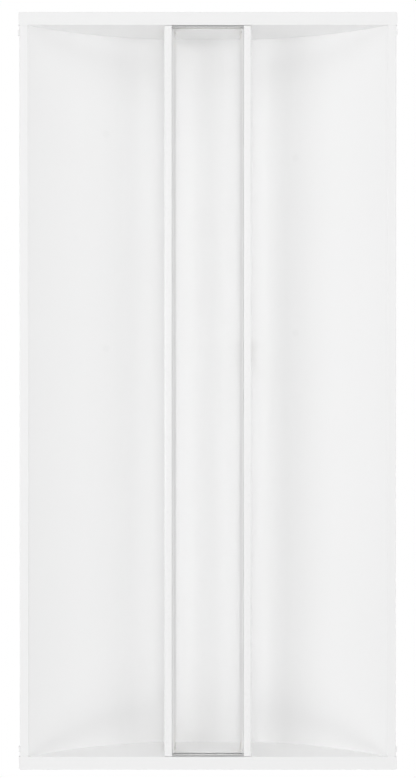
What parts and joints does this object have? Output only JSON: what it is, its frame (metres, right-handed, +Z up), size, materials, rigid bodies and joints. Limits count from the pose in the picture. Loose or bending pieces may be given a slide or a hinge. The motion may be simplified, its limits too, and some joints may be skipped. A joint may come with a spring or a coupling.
{
  "type": "recessed troffer light",
  "caption": "Recessed ceiling light for a lay-in grid: an arched white reflector with a hinged, edge-lit clear bar along its middle.",
  "frame": {"origin": "centre of the rim's underside, where the light rests on its ceiling grid", "axes": "+X along the light, +Y across it towards the driver box and the bar's hinge side, +Z up into the ceiling"},
  "size_m": [1.2128, 0.6072, 0.0828],
  "materials": {
    "white_powder_coat": "satin",
    "galvanised_steel": "spangled",
    "zinc_plated_steel": "satin",
    "green_earth_screw": "satin",
    "anodised_aluminium": "matte anodised",
    "clear_acrylic": "clear polished",
    "grey_foam": "matte",
    "black_rubber": "matte",
    "natural_nylon": "satin",
    "black_nylon": "satin",
    "white_board": "solder mask",
    "led_phosphor": "semi gloss",
    "thermal_tape": "matte",
    "white_connector": "satin",
    "driver_case_paint": "satin",
    "orange_terminal": "satin",
    "black_lead": "satin",
    "white_lead": "satin",
    "violet_lead": "satin",
    "green_lead": "satin",
    "white_cable_jacket": "satin"
  },
  "bodies": {
    "housing": {"vault_reflector": "white_powder_coat", "side_rail_right": "white_powder_coat", "side_rail_left": "white_powder_coat", "end_plate_head": "white_powder_coat", "end_plate_foot": "white_powder_coat", "catch_brackets": "white_powder_coat", "driver_box": "galvanised_steel", "back_stiffener": "galvanised_steel", "knockout_discs": "galvanised_steel", "corner_screws": "zinc_plated_steel", "crown_screws": "zinc_plated_steel", "clip_rivets": "zinc_plated_steel", "catch_rivets": "zinc_plated_steel", "box_arm_screws": "zinc_plated_steel", "driver_screws": "zinc_plated_steel", "terminal_screws": "zinc_plated_steel", "cover_hinge_pins": "zinc_plated_steel", "ground_screw": "green_earth_screw", "pivot_bushes": "natural_nylon", "catch_sockets": "natural_nylon", "cable_bushing": "black_nylon", "bar_socket": "white_connector", "bar_plug": "white_connector", "led_driver": "driver_case_paint", "terminal_block": "orange_terminal", "line_lead": "black_lead", "neutral_lead": "white_lead", "dimming_leads": "violet_lead", "ground_lead": "green_lead", "bar_lead": "white_cable_jacket", "led_cable": "white_cable_jacket"},
    "light_bar": {"rail_trim_right": "white_powder_coat", "rail_trim_left": "white_powder_coat", "led_channel_right": "anodised_aluminium", "led_channel_left": "anodised_aluminium", "light_guide_panel": "clear_acrylic", "panel_end_seals": "grey_foam", "led_boards": "white_board", "led_chips": "led_phosphor", "thermal_tapes": "thermal_tape", "board_bridges": "white_connector", "end_ties": "white_powder_coat", "tie_screws": "zinc_plated_steel", "trim_screws": "zinc_plated_steel", "pivot_blocks": "natural_nylon", "pivot_pins": "zinc_plated_steel", "ball_studs": "zinc_plated_steel", "rail_grommet": "black_rubber", "rail_lead": "white_lead", "cross_lead": "white_lead"},
    "box_cover": {"driver_box_cover": "galvanised_steel", "cover_screw": "zinc_plated_steel"},
    "grid_clip_1": {"grid_clip_1": "galvanised_steel"},
    "grid_clip_2": {"grid_clip_2": "galvanised_steel"},
    "grid_clip_3": {"grid_clip_3": "galvanised_steel"},
    "grid_clip_4": {"grid_clip_4": "galvanised_steel"}
  },
  "joints": [
    {"name": "light_bar_hinge", "type": "hinge", "parent": "housing", "child": "light_bar", "pos_m": [0, 0.0622, 0.01675], "axis": [1, 0, 0], "range_deg": [0, 90], "deforming": ["bar_lead"]},
    {"name": "box_cover_hinge", "type": "hinge", "parent": "housing", "child": "box_cover", "pos_m": [0.2415, 0.1305, 0.0765], "axis": [1, 0, 0], "range_deg": [0, 100]},
    {"name": "grid_clip_1_swing", "type": "hinge", "parent": "housing", "child": "grid_clip_1", "pos_m": [0.56, 0.2946, 0.0393], "axis": [0, 0, -1], "range_deg": [0, 90]},
    {"name": "grid_clip_2_swing", "type": "hinge", "parent": "housing", "child": "grid_clip_2", "pos_m": [0.56, -0.2946, 0.0393], "axis": [0, 0, 1], "range_deg": [0, 90]},
    {"name": "grid_clip_3_swing", "type": "hinge", "parent": "housing", "child": "grid_clip_3", "pos_m": [-0.56, 0.2946, 0.0393], "axis": [0, 0, 1], "range_deg": [0, 90]},
    {"name": "grid_clip_4_swing", "type": "hinge", "parent": "housing", "child": "grid_clip_4", "pos_m": [-0.56, -0.2946, 0.0393], "axis": [0, 0, -1], "range_deg": [0, 90]}
  ]
}
